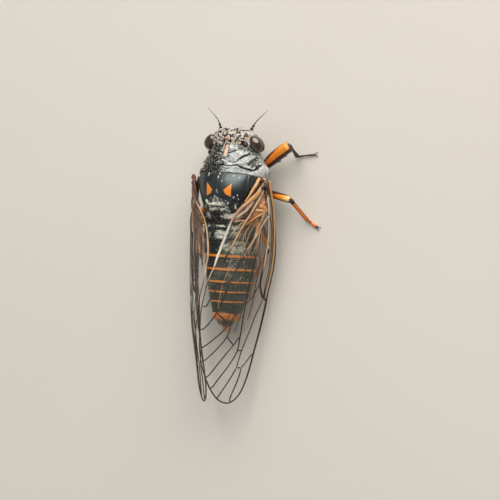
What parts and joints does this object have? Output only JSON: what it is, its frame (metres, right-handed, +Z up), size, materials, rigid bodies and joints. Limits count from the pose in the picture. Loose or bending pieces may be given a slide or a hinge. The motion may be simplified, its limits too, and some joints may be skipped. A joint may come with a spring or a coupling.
{
  "type": "cicada (dimissalna dimissa)",
  "caption": "Still life-size cicada with clear wings closed like a roof, short legs on the floor, orange-banded black abdomen.",
  "frame": {"origin": "centre of the bounding box at floor level", "axes": "head towards -Y, +Z up, the animal's right side towards -X"},
  "size_m": [0.0156, 0.0328, 0.0087],
  "materials": {
    "haired_cuticle": "dark grey-black body shell under fine pale hairs",
    "black_cuticle": "smooth, glossy black body shell",
    "orange_cuticle": "bright orange leg and tail shell, satin",
    "compound_eye": "glossy dark brown eye",
    "timbal": "thin ribbed tan sound plate",
    "wing_membrane": "clear, faintly smoky membrane",
    "wing_vein": "tan veins at the base, black-brown towards the tip"
  },
  "bodies": {
    "root": {"abdomen_base": "haired_cuticle", "abdomen_segment_3": "haired_cuticle", "abdomen_segment_4": "haired_cuticle", "abdomen_segment_5": "haired_cuticle", "abdomen_segment_6": "haired_cuticle", "abdomen_segment_7": "haired_cuticle", "abdomen_segment_8": "black_cuticle", "antenna_left": "black_cuticle", "antenna_right": "black_cuticle", "clypeus": "haired_cuticle", "eye_left": "compound_eye", "eye_right": "compound_eye", "fore_femur_left": "orange_cuticle", "fore_femur_right": "orange_cuticle", "fore_tarsus_left": "black_cuticle", "fore_tarsus_right": "black_cuticle", "fore_tibia_left": "black_cuticle", "fore_tibia_right": "black_cuticle", "forewing_left": "wing_membrane", "forewing_right": "wing_membrane", "head": "haired_cuticle", "hind_femur_left": "orange_cuticle", "hind_femur_right": "orange_cuticle", "hind_tarsus_left": "orange_cuticle", "hind_tarsus_right": "orange_cuticle", "hind_tibia_left": "orange_cuticle", "hind_tibia_right": "orange_cuticle", "hindwing_left": "wing_membrane", "hindwing_right": "wing_membrane", "mesonotum": "black_cuticle", "mesosternum": "haired_cuticle", "metanotum": "haired_cuticle", "metasternum": "haired_cuticle", "mid_femur_left": "orange_cuticle", "mid_femur_right": "orange_cuticle", "mid_tarsus_left": "orange_cuticle", "mid_tarsus_right": "orange_cuticle", "mid_tibia_left": "orange_cuticle", "mid_tibia_right": "orange_cuticle", "operculum_left": "haired_cuticle", "operculum_right": "haired_cuticle", "pronotum": "haired_cuticle", "prosternum": "haired_cuticle", "pygofer": "orange_cuticle", "rostrum": "black_cuticle", "timbal_left": "timbal", "timbal_right": "timbal"}
  },
  "joints": []
}
